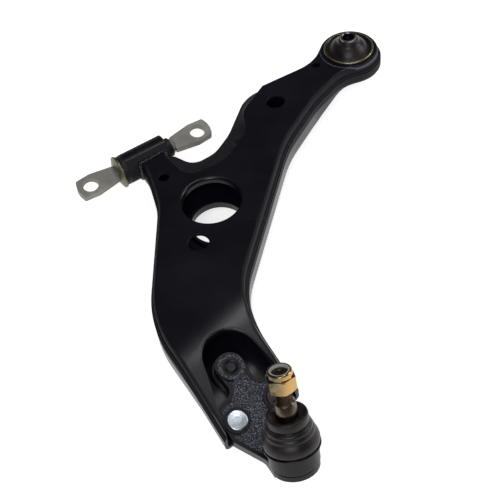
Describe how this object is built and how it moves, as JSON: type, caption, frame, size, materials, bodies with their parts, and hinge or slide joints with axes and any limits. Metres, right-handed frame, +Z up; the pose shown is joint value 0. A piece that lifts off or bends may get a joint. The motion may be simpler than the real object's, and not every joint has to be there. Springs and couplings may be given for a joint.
{
  "type": "suspension control arm",
  "caption": "Pressed-steel box-section lower control arm with an upright rear bush in an eye, a front bush on a bar pin and a bolted, gaitered ball joint.",
  "frame": {"origin": "centre of the rear bush bore, on the axis that the arm swings about", "axes": "+X forward along the swing axis through the front bush, +Y outboard towards the ball joint, +Z up along the rear bush bore"},
  "size_m": [0.3827, 0.4079, 0.104],
  "materials": {
    "e_coat_black": "satin",
    "e_coat_weld": "satin",
    "coated_forging": "rough satin",
    "bare_steel": "machined",
    "forged_steel": "shot-blasted forging",
    "dark_steel": "phosphated",
    "yellow_zinc": "yellow zinc plate",
    "bright_zinc": "bright zinc plate",
    "black_rubber": "moulded",
    "gaiter_rubber": "satin",
    "acetal": "moulded",
    "nylon": "moulded"
  },
  "bodies": {
    "arm": {"top_shell": "e_coat_black", "bottom_shell": "e_coat_black", "seam_welds": "e_coat_weld", "front_bush_tube": "e_coat_black", "tube_welds": "e_coat_weld", "front_bush_outer_sleeve": "bare_steel", "front_bush_rubber": "black_rubber", "rear_bush_outer_sleeve": "yellow_zinc", "rear_bush_rubber": "black_rubber", "ball_joint_housing": "coated_forging", "end_cap": "bare_steel", "ball_seat": "acetal", "boot_ring_lower": "bare_steel", "bracket_bolt": "bright_zinc", "bracket_studs": "bright_zinc", "bracket_nuts": "bright_zinc"},
    "bar_pin_group": {"bar_pin": "forged_steel", "stop_washer": "yellow_zinc"},
    "rear_sleeve": {"rear_bush_inner_sleeve": "bare_steel"},
    "joint_turn": {"preload_washer": "bare_steel", "dust_boot": "gaiter_rubber"},
    "joint_lean": {"boot_ring_upper": "bare_steel"},
    "stud": {"ball_stud": "dark_steel", "lock_nut": "yellow_zinc", "nylon_insert": "nylon"}
  },
  "joints": [
    {"name": "front_bush_twist", "type": "hinge", "parent": "arm", "child": "bar_pin_group", "pos_m": [0.2515, 0, 0], "axis": [1, 0, 0], "range_deg": [-14, 14], "stiffness_Nm_per_rad": 0.5, "deforming": ["front_bush_rubber"]},
    {"name": "rear_bush_tilt", "type": "hinge", "parent": "arm", "child": "rear_sleeve", "pos_m": [0, 0, 0], "axis": [1, 0, 0], "range_deg": [-14, 14], "deforming": ["rear_bush_rubber"]},
    {"name": "stud_turn", "type": "hinge", "parent": "arm", "child": "joint_turn", "pos_m": [0.30548, 0.34839, -0.02044], "axis": [-0.1384, -0.332, 0.9331], "continuous": true},
    {"name": "stud_lean", "type": "hinge", "parent": "joint_turn", "child": "joint_lean", "pos_m": [0.30548, 0.34839, -0.02044], "axis": [0.9904, -0.0464, 0.1303], "range_deg": [-25, 25], "deforming": ["dust_boot"]},
    {"name": "stud_spin", "type": "hinge", "parent": "joint_lean", "child": "stud", "pos_m": [0.30548, 0.34839, -0.02044], "axis": [-0.1384, -0.332, 0.9331], "continuous": true}
  ],
  "couplings": [
    {"joint": "rear_bush_tilt", "follows": "front_bush_twist", "ratio": 1}
  ]
}
